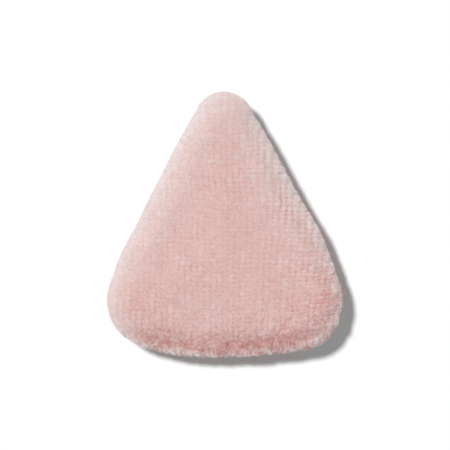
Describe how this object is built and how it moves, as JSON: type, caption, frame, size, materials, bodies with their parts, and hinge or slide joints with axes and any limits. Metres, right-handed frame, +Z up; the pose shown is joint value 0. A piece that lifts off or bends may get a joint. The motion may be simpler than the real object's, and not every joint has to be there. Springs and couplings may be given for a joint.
{
  "type": "triangular powder puff",
  "caption": "Soft velour powder puff with a rounded triangular outline, a sponge filling, a turned and sewn edge and a satin finger strap across its back.",
  "frame": {"origin": "middle of the outline seen from above, on the surface that the puff rests on", "axes": "+Z up through the powder face, +Y towards the tip, +X to the right when the powder face is seen with its tip up"},
  "size_m": [0.057, 0.065, 0.0115],
  "materials": {
    "velour": "matte",
    "sponge": "matte",
    "satin": "satin",
    "thread": "satin"
  },
  "bodies": {
    "root": {"front_cover": "velour", "back_cover": "velour", "sponge_core": "sponge", "finger_strap": "satin", "needle_thread": "thread", "bobbin_thread": "thread", "closing_thread": "thread", "left_strap_tack": "thread", "right_strap_tack": "thread"}
  },
  "joints": []
}
